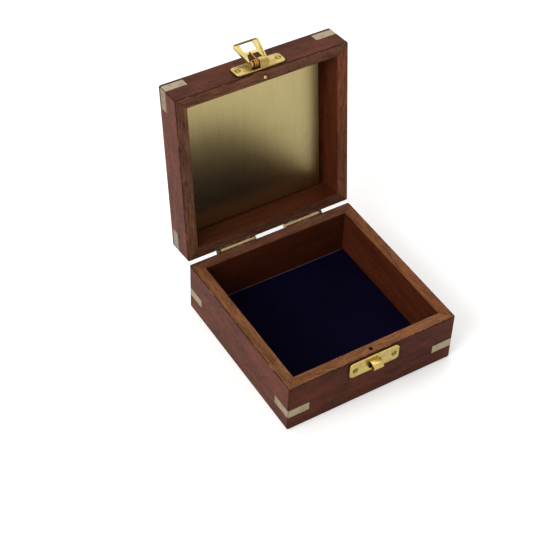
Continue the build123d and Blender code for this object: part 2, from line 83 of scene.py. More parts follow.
# %% [markdown]
# ## The camera
#
# The camera comes first, because everything is judged through it. It stands to the front left
# of the box and looks down at about 45 degrees through a long lens, and it leans a little, as
# a camera held by hand does. Its place was worked out from the corners of the box. Placing it
# by eye would leave the lid's slant and the depth of the walls to guesswork.

# %% Camera
AIM = Vector((-20.751, 15.527, 41.844)) * MM
CAMERA_AZIMUTH = radians(-32.747)
CAMERA_ELEVATION = radians(44.845)
CAMERA_ROLL = radians(2.161)
CAMERA_DISTANCE = 805.84 * MM
CAMERA_LENS = 94.752
FILM_WIDTH = 36
NEAREST_SEEN = 0.01
FARTHEST_SEEN = 20


def add_to_scene(name, data):
    """A new object in the scene, made from a camera, a lamp or a mesh."""
    made = bpy.data.objects.new(name, data)
    bpy.context.scene.collection.objects.link(made)
    return made


towards_camera = Vector(
    (
        sin(CAMERA_AZIMUTH) * cos(CAMERA_ELEVATION),
        -cos(CAMERA_AZIMUTH) * cos(CAMERA_ELEVATION),
        sin(CAMERA_ELEVATION),
    )
)
camera_data = bpy.data.cameras.new("camera")
camera_data.lens = CAMERA_LENS
camera_data.sensor_width = FILM_WIDTH
camera_data.clip_start = NEAREST_SEEN
camera_data.clip_end = FARTHEST_SEEN
camera = add_to_scene("camera", camera_data)
look = (-towards_camera).to_track_quat("-Z", "Y").to_matrix()
roll = Matrix.Rotation(CAMERA_ROLL, 3, towards_camera)
camera_point = AIM + towards_camera * CAMERA_DISTANCE
camera.matrix_world = Matrix.Translation(camera_point) @ (roll @ look).to_4x4()
bpy.context.scene.camera = camera
print("camera stands at, in mm:", [round(value / MM) for value in camera_point])

# %% [markdown]
# ## Studio light
#
# The box was lit by large soft lamps: one high on the left, which brightens every face that
# looks left, and a weaker one overhead. A pale world fills the shadows. Small lamps or a sun
# would be quicker to set, but they throw hard shadows. Big lamps give soft edges to the
# shadows and broad, calm highlights in the brass.

# %% Lamps and world
BOX_MIDDLE = Vector((0, 0.02, 0.05))


def soft_lamp(name, place, size, power):
    """A square lamp that points at the box. place and size are in metres, power in watts."""
    data = bpy.data.lights.new(name, "AREA")
    data.shape = "SQUARE"
    data.size = size
    data.energy = power
    lamp = add_to_scene(name, data)
    to_box = BOX_MIDDLE - Vector(place)
    lamp.location = place
    lamp.rotation_mode = "QUATERNION"
    lamp.rotation_quaternion = to_box.to_track_quat("-Z", "Y")
    print(name, "hangs", round(to_box.length, 2), "m from the box")


soft_lamp("lamp_left", place=(-1.1, -0.25, 0.8), size=0.9, power=14)
soft_lamp("lamp_above", place=(0.25, 0.75, 1.35), size=2.2, power=17)

world = bpy.data.worlds.new("studio")
bpy.context.scene.world = world
world.use_nodes = True
world.node_tree.nodes["Background"].inputs["Color"].default_value = (1, 1, 1, 1)
bpy.context.scene.view_settings.view_transform = "Standard"

# %% [markdown]
# ## Tools for materials
#
# A material is a tree of small nodes. They could be wired up by hand in the editor, but then
# nobody could read why. The helpers below add one node and wire it up in a single line, so
# that the recipes that follow read as recipes.

# %% Node helpers


def plug(tree, made, inputs):
    """Fills a node's inputs, each with a value or with another node's socket."""
    for name, value in inputs.items():
        if isinstance(value, bpy.types.NodeSocket):
            tree.links.new(value, made.inputs[name])
        else:
            made.inputs[name].default_value = value
    return made


def node(tree, kind, inputs=None, **settings):
    """One shader node. inputs maps a socket's name or number to what goes in."""
    made = tree.nodes.new("ShaderNode" + kind)
    for name, value in settings.items():
        setattr(made, name, value)
    return plug(tree, made, inputs or {})


def calc(tree, operation, *values):
    """A Math node's result."""
    return node(tree, "Math", dict(enumerate(values)), operation=operation).outputs[0]


def ramp(tree, value, start, stop, low, high):
    """low before start, high past stop, and an even rise between them."""
    numbers = {0: value, 1: start, 2: stop, 3: low, 4: high}
    return node(tree, "MapRange", numbers).outputs[0]


def object_place(tree):
    """Where a point of the surface lies, in metres."""
    return node(tree, "TexCoord").outputs["Object"]


print("helpers for nodes: plug, node, calc, ramp and object_place")

# %% Colour and material helpers


def linear(part):
    """One part of a paint chart's colour, counted as the renderer counts light."""
    return part / 12.92 if part <= 0.04045 else ((part + 0.055) / 1.055) ** 2.4


def colour(code):
    """A colour written as six hex digits, as a paint chart gives it."""
    return (*[linear(int(code[start : start + 2], 16) / 255) for start in (0, 2, 4)], 1.0)


def new_material(name):
    """An empty material. Returns it, its tree and its Principled shader."""
    material = bpy.data.materials.new(name)
    material.use_nodes = True
    return material, material.node_tree, material.node_tree.nodes["Principled BSDF"]


print("a middle grey, as light:", round(colour("808080")[0], 3))

# %% [markdown]
# ## The floor
#
# The box stands on a plain pale sheet in a pale room. Where the camera or a reflection looks
# straight at them, both are a little brighter than the lamps make them, and more so far away,
# where the lamps don't reach. Stronger lamps would whiten the sheet as well, but they would
# wash out the wood. The sheet still takes the soft shadow of the box, which the camera alone
# sees slightly lifted, and the light that falls on the box stays as it is.

# %% Floor and backdrop
WORLD_LIGHT = 0.35
LEAST_GLOW = 0.16
FULL_GLOW = 1.0
GLOW_RISES_FROM = 0.4
GLOW_RISES_TO = 1.8
LIFTED_SHADOW = 0.14
FLOOR_HALF = 4


def seen_directly(tree):
    """1 for rays from the camera, a mirror or glass, and 0 for rays that only carry light."""
    rays = node(tree, "LightPath").outputs
    seen = calc(tree, "MAXIMUM", rays["Is Camera Ray"], rays["Is Glossy Ray"])
    return calc(tree, "MAXIMUM", seen, rays["Is Transmission Ray"])


backdrop = world.node_tree
brighter = calc(backdrop, "MULTIPLY", seen_directly(backdrop), 1 - WORLD_LIGHT)
pale = calc(backdrop, "ADD", WORLD_LIGHT, brighter)
backdrop.links.new(pale, backdrop.nodes["Background"].inputs["Strength"])

floor_material, tree, shader = new_material("pale_sheet")
away = node(tree, "VectorMath", {0: object_place(tree)}, operation="LENGTH").outputs["Value"]
glow = ramp(tree, away, GLOW_RISES_FROM, GLOW_RISES_TO, LEAST_GLOW, FULL_GLOW)
glow = calc(tree, "MULTIPLY", seen_directly(tree), glow)
from_camera = node(tree, "LightPath").outputs["Is Camera Ray"]
lifted = calc(tree, "MULTIPLY", from_camera, LIFTED_SHADOW)
sheet_values = {"Base Color": colour("f2f1ef"), "Roughness": 0.9, "Specular IOR Level": 0.1}
sheet_glow = {"Emission Color": (1, 1, 1, 1), "Emission Strength": calc(tree, "ADD", glow, lifted)}
plug(tree, shader, {**sheet_values, **sheet_glow})

floor_mesh = bmesh.new()
bmesh.ops.create_grid(
    floor_mesh, x_segments=1, y_segments=1, size=FLOOR_HALF, matrix=Matrix(), calc_uvs=False
)
floor_data = bpy.data.meshes.new("floor")
floor_mesh.to_mesh(floor_data)
floor_mesh.free()
floor_data.materials.append(floor_material)
floor = add_to_scene("floor", floor_data)
print("floor is", 2 * FLOOR_HALF, "m wide, with", len(floor_data.polygons), "face")

# %% [markdown]
# ## Reading a place on the box
#
# One small group turns a surface point into millimetres from the middle of the rim: its place,
# how far it lies to either side, how far to the front or back, and how deep below the rim. The
# wood, the dark lines round the inlays and the painted shade round the screws are all drawn from
# that one reading, so they stay where the joints are, seen from any side. An unwrapped map would
# need a seam at every mitre, and the stain would have to be matched across each of them.

# %% Group: place on the box


def new_group(name, inputs, outputs):
    """A node group with named sockets. Returns its tree, what it takes and its last node."""
    tree = bpy.data.node_groups.new(name, "ShaderNodeTree")
    for label, (kind, value) in inputs.items():
        socket = tree.interface.new_socket(label, in_out="INPUT", socket_type="NodeSocket" + kind)
        if value is not None:
            socket.default_value = value
    for label, kind in outputs.items():
        tree.interface.new_socket(label, in_out="OUTPUT", socket_type="NodeSocket" + kind)
    return tree, tree.nodes.new("NodeGroupInput").outputs, tree.nodes.new("NodeGroupOutput")


def in_millimetres(tree, place):
    """A place in metres, turned into millimetres."""
    return node(tree, "VectorMath", {0: place, "Scale": 1 / MM}, operation="SCALE").outputs[0]


place_group, take, result = new_group(
    "place_on_box",
    {"Origin": ("Vector", (0, 0, 0)), "Turn": ("Vector", (0, 0, 0))},
    {"Place": "Vector", "Side": "Float", "End": "Float", "Depth": "Float"},
)
tree = place_group
rim_frame = {"Vector": object_place(tree), "Location": take["Origin"], "Rotation": take["Turn"]}
local = node(tree, "Mapping", rim_frame, vector_type="TEXTURE").outputs[0]
in_mm = in_millimetres(tree, local)
axes = node(tree, "SeparateXYZ", {0: in_mm}).outputs
side = calc(tree, "ABSOLUTE", axes[0])
end = calc(tree, "ABSOLUTE", axes[1])
plug(tree, result, {"Place": in_mm, "Side": side, "End": end, "Depth": axes[2]})
print("place group nodes:", len(place_group.nodes))

# %% [markdown]
# ## Grain
#
# The walls are cut from an open-pored, reddish hardwood. Close up it shows three things: fine
# fibres along the board, short dark pores among them, and slow changes of tone across it. A
# photograph of wood would repeat and stretch at the ends, so each of the three is a noise that
# is drawn out along the grain, and each board starts at its own place in the noise.

# %% Noise helpers


def stretched(tree, place, scale, shift=(0, 0, 0), turn=(0, 0, 0)):
    """place, shifted, turned and scaled along its axes."""
    values = {"Vector": place, "Location": shift, "Rotation": turn, "Scale": scale}
    return node(tree, "Mapping", values).outputs[0]


def noise(tree, place, scale, detail=2.0, roughness=0.5):
    """A noise texture's value, read at place."""
    values = {"Vector": place, "Scale": scale, "Detail": detail, "Roughness": roughness}
    return node(tree, "TexNoise", values).outputs[0]


def streaks(tree, place, per_mm, detail=2.0, roughness=0.5, shift=(0, 0, 0)):
    """A noise with its own count of waves per millimetre along x, y and z."""
    return noise(tree, stretched(tree, place, per_mm, shift), 1.0, detail, roughness)


def step(tree, value, low, high):
    """Rises smoothly from 0 at low to 1 at high. low may be the larger."""
    numbers = {0: value, 1: low, 2: high, 3: 0.0, 4: 1.0}
    return node(tree, "MapRange", numbers, interpolation_type="SMOOTHSTEP").outputs[0]


def spread(tree, value, low, high):
    """Stretches a value from 0 to 1 over low to high."""
    return ramp(tree, value, 0.0, 1.0, low, high)


print("helpers for noise: stretched, noise, streaks, step and spread")

# %% Group: hardwood grain
WANDER = 5  # mm that the grain strays to either side

grain_group, take, result = new_group(
    "hardwood_grain",
    {"Place": ("Vector", None), "Turn": ("Vector", (0, 0, 0)), "Board": ("Vector", (0, 0, 0))},
    {"Fibre": "Float", "Pores": "Float", "Figure": "Float", "Patches": "Float"},
)
tree = grain_group
along = stretched(tree, take["Place"], (1, 1, 1), shift=take["Board"], turn=take["Turn"])
wander = streaks(tree, along, (0.03, 0.05, 0.05))
sideways = node(tree, "CombineXYZ", {1: spread(tree, wander, -WANDER, WANDER)}).outputs[0]
bent = node(tree, "VectorMath", {0: along, 1: sideways}, operation="ADD").outputs[0]
fibre = streaks(tree, bent, (0.10, 1.3, 1.3), detail=5.0, roughness=0.75)
pores = streaks(tree, bent, (0.32, 3.2, 3.2), detail=1.0, roughness=0.4)
figure = streaks(tree, bent, (0.022, 0.26, 0.26), detail=4.0, roughness=0.6)
patches = streaks(
    tree, bent, (0.045, 0.09, 0.09), detail=3.0, roughness=0.55, shift=(3, 8, 1)
)
grain_values = {
    "Fibre": step(tree, fibre, 0.30, 0.70),
    "Pores": step(tree, pores, 0.57, 0.66),
    "Figure": step(tree, figure, 0.30, 0.70),
    "Patches": step(tree, patches, 0.35, 0.65),
}
plug(tree, result, grain_values)
print("grain group nodes:", len(grain_group.nodes))

# %% [markdown]
# ## Where the stain gathered, and the painted shade
#
# The case was stained after it was glued up, and its rims were rubbed back. So the outside is
# dark and reddish, the rims are lighter, and a dark line wanders along the edge between them.
# Stain also gathered in the mitres and round the inlays. The dark line round the catch and the
# hasp plate is partly stain and partly painted contact shadow, and the dark bands on the rounded
# edges and along the foot are partly stain and partly painted shade and dark reflection.
# Each of these is a mask that is worked out from the place on the box. Painting them by hand
# would need eight separate pictures, and the masks serve all eight walls.

# %% Sizes that the masks share
BOX_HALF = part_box("base_right_wall")[1].x / MM
WALL = 7.0
INNER_HALF = BOX_HALF - WALL
INLAY_LEG = 13.5
INLAY_HALF_HEIGHT = 2.8
print("outer and inner half width in mm:", round(BOX_HALF, 2), round(INNER_HALF, 2))

# %% [markdown]
# ## The rubbed rim
#
# A rim ends where the rubbing cloth went over the edge, and that line is never straight. One
# noise makes it wave by a millimetre either way, and a second, slower one lets the stain spill
# onto the rim here and there. The panels have no rim and no mitres, so their boards switch
# these lines off with the input called Jointed.

# %% Group: stain masks, the rim and the inside
# Sizes are in mm. Each fade runs from where a mask ends to where it is full.
INSIDE_FADE = (0.3, 0.1)
RIM_FADE = (0.2, -0.1)
RIM_LINE_FADE = (0.65, 0.1)
WAVE = (-1.1, 0.9)
SPILL = 1.5

mask_group, take, result = new_group(
    "stain_and_shade_masks",
    {
        "Place": ("Vector", None),
        "Side": ("Float", 0.0),
        "End": ("Float", 0.0),
        "Depth": ("Float", 0.0),
        "Height": ("Float", 33.0),
        "Inner Half": ("Float", 47.0),
        "Inlay Middle": ("Float", 20.0),
        "Edge Band": ("Float", 1.0),
        "Plate Middle": ("Float", -100.0),
        "Plate Half Width": ("Float", 16.0),
        "Plate Half Height": ("Float", 5.0),
        "Jointed": ("Float", 1.0),
    },
    {"Rim": "Float", "Inside": "Float", "Dark": "Float", "Groove": "Float"},
)
tree = mask_group
outer_reach = calc(tree, "MAXIMUM", take["Side"], take["End"])
past_inner = calc(tree, "SUBTRACT", outer_reach, take["Inner Half"])
inside = step(tree, past_inner, *INSIDE_FADE)
not_inside = calc(tree, "SUBTRACT", 1.0, inside)
from_outside = calc(tree, "SUBTRACT", BOX_HALF, outer_reach)
over_edge = calc(tree, "SUBTRACT", take["Depth"], from_outside)
wave = streaks(tree, take["Place"], (0.45, 0.45, 0.05), detail=3.0, roughness=0.7)
spill = streaks(tree, take["Place"], (0.09, 0.09, 0.0), shift=(7, 3, 1))
spilled = calc(tree, "MULTIPLY", step(tree, spill, 0.56, 0.72), SPILL)
cloth_reach = calc(tree, "ADD", spread(tree, wave, *WAVE), spilled)
past_reach = calc(tree, "SUBTRACT", over_edge, cloth_reach)
rim = calc(tree, "MULTIPLY", step(tree, past_reach, *RIM_FADE), not_inside)
off_reach = calc(tree, "ABSOLUTE", past_reach)
rim_line = calc(tree, "MULTIPLY", step(tree, off_reach, *RIM_LINE_FADE), take["Jointed"])
plug(tree, result, {"Rim": rim, "Inside": inside})
print("stain mask nodes for the rim:", len(mask_group.nodes))

# %% [markdown]
# ## Joints and fittings
#
# A mitre, an inlay or a plate leaves a hairline gap in the real box, and the stain settled in
# it. Round the plates the dark line is partly that stain and partly painted contact shadow. Each
# gap could be cut into the solids, but it is thinner than a sheet of paper and would need a great
# many small faces. A dark line a few tenths of a millimetre wide, with a shallow groove in the
# relief, does the same at every distance.

# %% Group: stain and painted shade masks, the joints and the edges
MITRE_FADE = (0.30, 0.08)
INLAY_FADE = (0.45, 0.1)
PLATE_FADE = (0.7, 0.1)
CORNER_FADE = (0.9, 0.2)


def apart(tree, one, other):
    """How far two values lie apart."""
    return calc(tree, "ABSOLUTE", calc(tree, "SUBTRACT", one, other))


mitre_line = step(tree, apart(tree, take["Side"], take["End"]), *MITRE_FADE)
mitre_line = calc(tree, "MULTIPLY", mitre_line, take["Jointed"])

nearer_middle = calc(tree, "MINIMUM", take["Side"], take["End"])
from_leg = calc(tree, "SUBTRACT", BOX_HALF - INLAY_LEG, nearer_middle)
from_inlay_middle = apart(tree, take["Depth"], take["Inlay Middle"])
above_inlay = calc(tree, "SUBTRACT", from_inlay_middle, INLAY_HALF_HEIGHT)
inlay_line = step(tree, calc(tree, "MAXIMUM", from_leg, above_inlay), *INLAY_FADE)

# A dark line round the catch on the base and the hasp plate on the lid: partly stain, partly
# painted contact shadow.
beside_plate = calc(tree, "SUBTRACT", take["Side"], take["Plate Half Width"])
from_plate_middle = apart(tree, take["Depth"], take["Plate Middle"])
above_plate = calc(tree, "SUBTRACT", from_plate_middle, take["Plate Half Height"])
plate_line = step(tree, calc(tree, "MAXIMUM", beside_plate, above_plate), *PLATE_FADE)

# The dark bands at the foot of the base, the top edge of the lid and down the corners are partly
# stain and partly painted shade and dark reflection.
below = calc(tree, "SUBTRACT", take["Height"], take["Depth"])
to_far_edge = calc(tree, "MAXIMUM", below, from_outside)
edge_band = step(tree, to_far_edge, take["Edge Band"], 0.0)
to_corner = calc(tree, "SUBTRACT", BOX_HALF, nearer_middle)
corner_band = step(tree, to_corner, *CORNER_FADE)

joint_darkness = ((mitre_line, 0.6), (inlay_line, 0.9), (plate_line, 0.8))
edge_darkness = ((rim_line, 0.85), (edge_band, 0.85), (corner_band, 0.55))
dark = 0.0
for line, darkness in edge_darkness + joint_darkness:
    dark = calc(tree, "MAXIMUM", dark, calc(tree, "MULTIPLY", line, darkness))
groove = calc(tree, "MAXIMUM", mitre_line, inlay_line)
plug(tree, result, {"Dark": calc(tree, "MULTIPLY", dark, not_inside)})
plug(tree, result, {"Groove": calc(tree, "MULTIPLY", groove, not_inside)})
print("all stain mask nodes:", len(mask_group.nodes))

# %% [markdown]
# ## Stain and varnish
#
# The masks say where each stain and each painted shade lies, and this group says what it looks
# like. The tone of the wood is multiplied by its fibres and its figure, a second, darker stain
# shows through in patches, and the pores, the gathered stain and the painted shade on the edges
# and round the plates are nearly black. The relief is small: fibres stand up a little, and
# pores, mitres and the joints round the inlays are sunk. A real coating could be laid over the
# colour as a second, glossy layer, but this one was wiped on so thin that the pores stay open,
# and one layer with its own roughness shows that better.

# %% Colour helpers


def mix(tree, factor, first, second, blend_type="MIX"):
    """A mix of two colours."""
    sockets = {0: factor, 6: first, 7: second}
    return node(tree, "Mix", sockets, data_type="RGBA", blend_type=blend_type).outputs[2]


def toned(tree, surface, tone):
    """A colour made lighter or darker by a tone round 1."""
    grey = node(tree, "CombineColor", {0: tone, 1: tone, 2: tone}).outputs[0]
    return mix(tree, 1.0, surface, grey, "MULTIPLY")


# Near black, for the pores, the stain in the joints and along the rim line, and the painted shade
# and dark reflection on the edges and round the plates.
STAIN_AND_PAINTED_SHADE = colour("1c0f0a")
print("gathered stain, as light:", [round(part, 4) for part in STAIN_AND_PAINTED_SHADE[:3]])

# %% Group: stained wood
WHITE = (1, 1, 1, 1)
FIBRE_CONTRAST = 0.6
MORE_ON_RIMS = 0.4
LESS_INSIDE = 0.3
FIGURE_CONTRAST = 0.22
PORE_DARKNESS = 0.45
PORE_DEPTH = 0.6
FIBRE_HEIGHT = 0.35
VARNISH_ROUGHNESS = (0.30, 0.42)
RIM_ROUGHER = 0.12
PORES_ROUGHER = 0.2

stain_group, take, result = new_group(
    "stained_wood",
    {
        "Fibre": ("Float", 0.5),
        "Pores": ("Float", 0.0),
        "Figure": ("Float", 0.5),
        "Patches": ("Float", 0.5),
        "Rim": ("Float", 0.0),
        "Inside": ("Float", 0.0),
        "Dark": ("Float", 0.0),
        "Groove": ("Float", 0.0),
        "Outside Color": ("Color", WHITE),
        "Patch Color": ("Color", WHITE),
        "Rim Color": ("Color", WHITE),
        "Inside Color": ("Color", WHITE),
    },
    {"Color": "Color", "Roughness": "Float", "Bump": "Float"},
)
tree = stain_group
outer = mix(tree, take["Patches"], take["Outside Color"], take["Patch Color"])
surface = mix(tree, take["Rim"], outer, take["Rim Color"])
surface = mix(tree, take["Inside"], surface, take["Inside Color"])
contrast = calc(tree, "ADD", FIBRE_CONTRAST, calc(tree, "MULTIPLY", take["Rim"], MORE_ON_RIMS))
calmer = calc(tree, "MULTIPLY", take["Inside"], LESS_INSIDE)
contrast = calc(tree, "SUBTRACT", contrast, calmer)
fibre_change = calc(tree, "MULTIPLY", spread(tree, take["Fibre"], -0.5, 0.5), contrast)
figure_change = spread(tree, take["Figure"], -FIGURE_CONTRAST, FIGURE_CONTRAST)
tone = calc(tree, "ADD", calc(tree, "ADD", fibre_change, figure_change), 1.0)
surface = toned(tree, surface, tone)
dark_pores = calc(tree, "MULTIPLY", take["Pores"], PORE_DARKNESS)
surface = mix(tree, dark_pores, surface, STAIN_AND_PAINTED_SHADE)
# The Dark mask: stain in the joints and along the rim line, and painted shade on the edges and
# round the plates.
surface = mix(tree, take["Dark"], surface, STAIN_AND_PAINTED_SHADE)

varnish = spread(tree, take["Fibre"], *VARNISH_ROUGHNESS)
rim_rough = calc(tree, "MULTIPLY", take["Rim"], RIM_ROUGHER)
pore_rough = calc(tree, "MULTIPLY", take["Pores"], PORES_ROUGHER)
rough = calc(tree, "ADD", calc(tree, "ADD", varnish, rim_rough), pore_rough)
sunk = calc(tree, "MULTIPLY", take["Pores"], PORE_DEPTH)
sunk = calc(tree, "MAXIMUM", sunk, take["Groove"])
raised = calc(tree, "MULTIPLY", take["Fibre"], FIBRE_HEIGHT)
relief = calc(tree, "SUBTRACT", raised, sunk)
plug(tree, result, {"Color": surface, "Roughness": rough, "Bump": relief})
print("stained wood nodes:", len(stain_group.nodes))

# %% [markdown]
# ## Eight walls and three boards
#
# Each wall is its own board with its own grain, and the grain runs along it: from side to side
# in the front and the rear, and from front to back in the two sides. Each board's tone is
# shifted by a few percent, and each side's rims have their own colour. This is partly the stain
# taking a little differently on each, and partly painted light and shade: the tones and rim
# colours follow how brightly each side is lit, so the rear rims are darker and the left walls
# lighter. The varnish is thin, so it reflects much less than a thick gloss would. One material
# on all the walls would be less work, but the grain would then run through the mitres as if
# the box were one block.

# %% What a wood material is made of
VARNISH_SPECULAR = 0.05
WOOD_RELIEF = 0.12 * MM


def use_group(tree, group, inputs):
    """A group placed in a material, with its inputs filled. Returns what it puts out."""
    made = tree.nodes.new("ShaderNodeGroup")
    made.node_tree = group
    return plug(tree, made, inputs).outputs


def bump(tree, shader, height, distance, strength):
    """Feeds a height through a Bump node into the shader's normal."""
    values = {"Height": height, "Distance": distance, "Strength": strength}
    plug(tree, shader, {"Normal": node(tree, "Bump", values).outputs[0]})


def wood(name, place, turn, board, tints, marks):
    """Stained hardwood.

    place is where the rim's middle lies, and turn and board lay the grain: its direction, and
    the board's own place in the noise. tints are the outside, patch, rim and inside colours.
    marks tell the stain and painted shade masks where this board's edges and fittings are.
    """
    material, tree, shader = new_material(name)
    spot = use_group(tree, place_group, place)
    grain = use_group(tree, grain_group, {"Place": spot["Place"], "Turn": turn, "Board": board})
    measured = {label: spot[label] for label in ("Place", "Side", "End", "Depth")}
    masks = use_group(tree, mask_group, {**measured, **marks})
    values = {label: grain[label] for label in ("Fibre", "Pores", "Figure", "Patches")}
    values.update({label: masks[label] for label in ("Rim", "Inside", "Dark", "Groove")})
    tint_names = ("Outside Color", "Patch Color", "Rim Color", "Inside Color")
    stain = use_group(tree, stain_group, {**values, **dict(zip(tint_names, tints))})
    plug(tree, shader, {"Base Color": stain["Color"], "Roughness": stain["Roughness"]})
    plug(tree, shader, {"Specular IOR Level": VARNISH_SPECULAR})
    bump(tree, shader, stain["Bump"], distance=WOOD_RELIEF, strength=0.6)
    return material


print("groups in each wood material:", len(bpy.data.node_groups))

# %% Colours and fittings of the boards
OUTSIDE = colour("5b2a18")
PATCH = colour("4a2114")
INSIDE = colour("4f2414")
BARE_BOARD = colour("8d7a5c")
BASE_INLAY_UP = 12.8  # mm from the ground to the middle of a strip
BASE_INLAY_MIDDLE = BASE_HEIGHT / MM - BASE_INLAY_UP
LID_INLAY_MIDDLE = 13.8
LID_HEIGHT = 20.0
# Widths in mm of the dark band at the foot of the base and the top edge of the lid: partly stain,
# partly painted shade and dark reflection.
BASE_EDGE_BAND = 0.9
LID_EDGE_BAND = 3.2
PANEL_EDGE_BAND = 0.5
CATCH_MIDDLE = 6.5
HASP_PLATE_MIDDLE = 5.9
# A fitting's middle below the rim, its half width and its half height, in mm.
CATCH_MARK = (CATCH_MIDDLE, 16.1, 5.3)
HASP_PLATE_MARK = (HASP_PLATE_MIDDLE, 15.4, 4.7)
# Places that lie off every board, so that no line is drawn.
NO_PLATE = (-100, 16, 5)
NO_INLAY = -50
NO_FAR_EDGE = 100
ALONG_X = (0, 0, 0)
ALONG_Y = (0, 0, pi / 2)


def marks_of(height, inlay_middle, edge_band, plate=NO_PLATE, inner=INNER_HALF, jointed=1.0):
    """A board's marks in mm. plate is the middle, half width and half height of its fitting."""
    middle, half_width, half_height = plate
    board_marks = {"Height": height, "Inlay Middle": inlay_middle, "Edge Band": edge_band}
    board_marks.update({"Inner Half": inner, "Jointed": jointed, "Plate Middle": middle})
    board_marks.update({"Plate Half Width": half_width, "Plate Half Height": half_height})
    return board_marks


def shade(tint, factor):
    """A colour made darker or lighter."""
    return (*[part * factor for part in tint[:3]], 1.0)


def dress(name, material):
    """Gives a CAD piece its material."""
    piece = frame["nodes"][name]
    piece.data.materials.clear()
    piece.data.materials.append(material)


print("base inlay's middle, in mm below the rim:", round(BASE_INLAY_MIDDLE, 2))

# %% Wood materials
LID_BOARD_SHIFT = 200
board_woods = {}
# Each side's place in the noise, its tone, and the colours of its base's and its lid's rim.
# The tones and rim colours are partly painted light and shade: the rear rims darker, the left
# walls lighter.
BOARDS = {
    "front": ((11, 3, 5), 1.0, "7a4f31", "6c4633"),
    "rear": ((47, 21, 9), 0.93, "664130", "5c3a2b"),
    "left": ((83, 7, 31), 1.1, "764c30", "6a4634"),
    "right": ((131, 17, 2), 0.96, "764729", "76452b"),
}
for side, (board, tone, rim, lid_rim) in BOARDS.items():
    turn = ALONG_X if side in ("front", "rear") else ALONG_Y
    catch_mark = CATCH_MARK if side == "front" else NO_PLATE
    hasp_mark = HASP_PLATE_MARK if side == "front" else NO_PLATE
    outside, patch, inside = [shade(tint, tone) for tint in (OUTSIDE, PATCH, INSIDE)]
    base_tints = [outside, patch, colour(rim), inside]
    lid_tints = [outside, patch, colour(lid_rim), inside]
    base_marks = marks_of(BASE_HEIGHT / MM, BASE_INLAY_MIDDLE, BASE_EDGE_BAND, catch_mark)
    lid_marks = marks_of(LID_HEIGHT, LID_INLAY_MIDDLE, LID_EDGE_BAND, hasp_mark)
    lid_board = tuple(value + LID_BOARD_SHIFT for value in board)
    base_wood = wood(f"base_{side}_wood", BASE_PLACE, turn, board, base_tints, base_marks)
    lid_wood = wood(f"lid_{side}_wood", LID_PLACE, turn, lid_board, lid_tints, lid_marks)
    board_woods[f"base_{side}_wall"] = base_wood
    board_woods[f"lid_{side}_wall"] = lid_wood

panel_tints = [OUTSIDE, PATCH, OUTSIDE, INSIDE]
bare_tints = [BARE_BOARD] * 4
unjointed = marks_of(NO_FAR_EDGE, NO_INLAY, PANEL_EDGE_BAND, inner=0.0, jointed=0.0)
board_woods["lid_top_panel"] = wood(
    "top_panel_wood", LID_PLACE, ALONG_Y, (5, 9, 80), panel_tints, unjointed
)
board_woods["base_bottom_panel"] = wood(
    "bottom_panel_wood", BASE_PLACE, ALONG_X, (9, 60, 8), panel_tints, unjointed
)
board_woods["pad_board"] = wood(
    "pad_board_wood", BASE_PLACE, ALONG_X, (3, 70, 2), bare_tints, unjointed
)
for name, material in board_woods.items():
    dress(name, material)
print("walls and boards dressed:", len(board_woods))

# %% [markdown]
# ## Worn brass
#
# Every brass piece started polished and has dulled since. A cloudy noise carries the tarnish, a
# fine noise gives hair scratches, and painted shade sits round the heads of the screws. The
# scratches change the roughness as well as the relief, because it is the broken reflection that
# shows that a metal has been handled. One group makes all of the finishes, each with its own
# numbers.

# %% Group: worn brass
# Near-black brown for dirt in the strips' mitres, painted shade round the screws, a painted dark
# reflection on the hasp's far bar and the hinges' darker tips.
BRASS_DIRT_AND_SHADE = colour("2c1f0c")
SCRATCH_TONE = (0.72, 1.2)
TARNISH_ROUGHER = 0.25
DIRT_AND_SHADE_ROUGHER = 0.3

brass_group, take, result = new_group(
    "worn_brass",
    {
        "Place": ("Vector", None),
        "Dirt And Shade": ("Float", 0.0),
        "Metal": ("Color", WHITE),
        "Tarnish": ("Color", (0.3, 0.2, 0.1, 1)),
        "Tarnish Amount": ("Float", 0.3),
        "Scratch Stretch": ("Vector", (1, 1, 1)),
        "Shine": ("Float", 0.2),
        "Dull": ("Float", 0.4),
    },
    {"Color": "Color", "Roughness": "Float", "Bump": "Float"},
)
tree = brass_group
cloud = noise(tree, take["Place"], scale=0.25, detail=4.0, roughness=0.65)
scratch = streaks(tree, take["Place"], take["Scratch Stretch"], detail=3.0, roughness=0.7)
stain = calc(tree, "MULTIPLY", step(tree, cloud, 0.40, 0.70), take["Tarnish Amount"])
metal = mix(tree, stain, take["Metal"], take["Tarnish"])
metal = toned(tree, metal, spread(tree, scratch, *SCRATCH_TONE))
# The dark mask: dirt in the mitres, painted shade round the screws, a painted dark reflection on
# the hasp and darker hinge tips.
metal = mix(tree, take["Dirt And Shade"], metal, BRASS_DIRT_AND_SHADE)
rough = ramp(tree, scratch, 0.2, 0.8, take["Shine"], take["Dull"])
rough = calc(tree, "ADD", rough, calc(tree, "MULTIPLY", stain, TARNISH_ROUGHER))
rough = calc(tree, "ADD", rough, calc(tree, "MULTIPLY", take["Dirt And Shade"], DIRT_AND_SHADE_ROUGHER))
plug(tree, result, {"Color": metal, "Roughness": rough, "Bump": scratch})
print("brass nodes:", len(brass_group.nodes))

# %% [markdown]
# ## Where the dirt and the painted shade sit
#
# One dark mask darkens the brass in four places. In the mitre of each corner strip it is polish
# and old grease, turned black where no cloth reaches. The ring round each screw head is painted
# shade, the far bar of the hasp has a painted dark reflection, and the hinges are darker towards
# their outer tips. A general ageing effect would darken every edge alike, and these would then
# be lost among them, so each mark has its own small rule.

# %% Dirt and painted shade on the brass
SCREW_OUT = 12.6
SCREW_HEAD = 1.4
RING_FADE = (0.5, 0.1)
STRIP_MITRE_FADE = (0.4, 0.15)
DIRT_AND_SHADE_COVER = 0.8


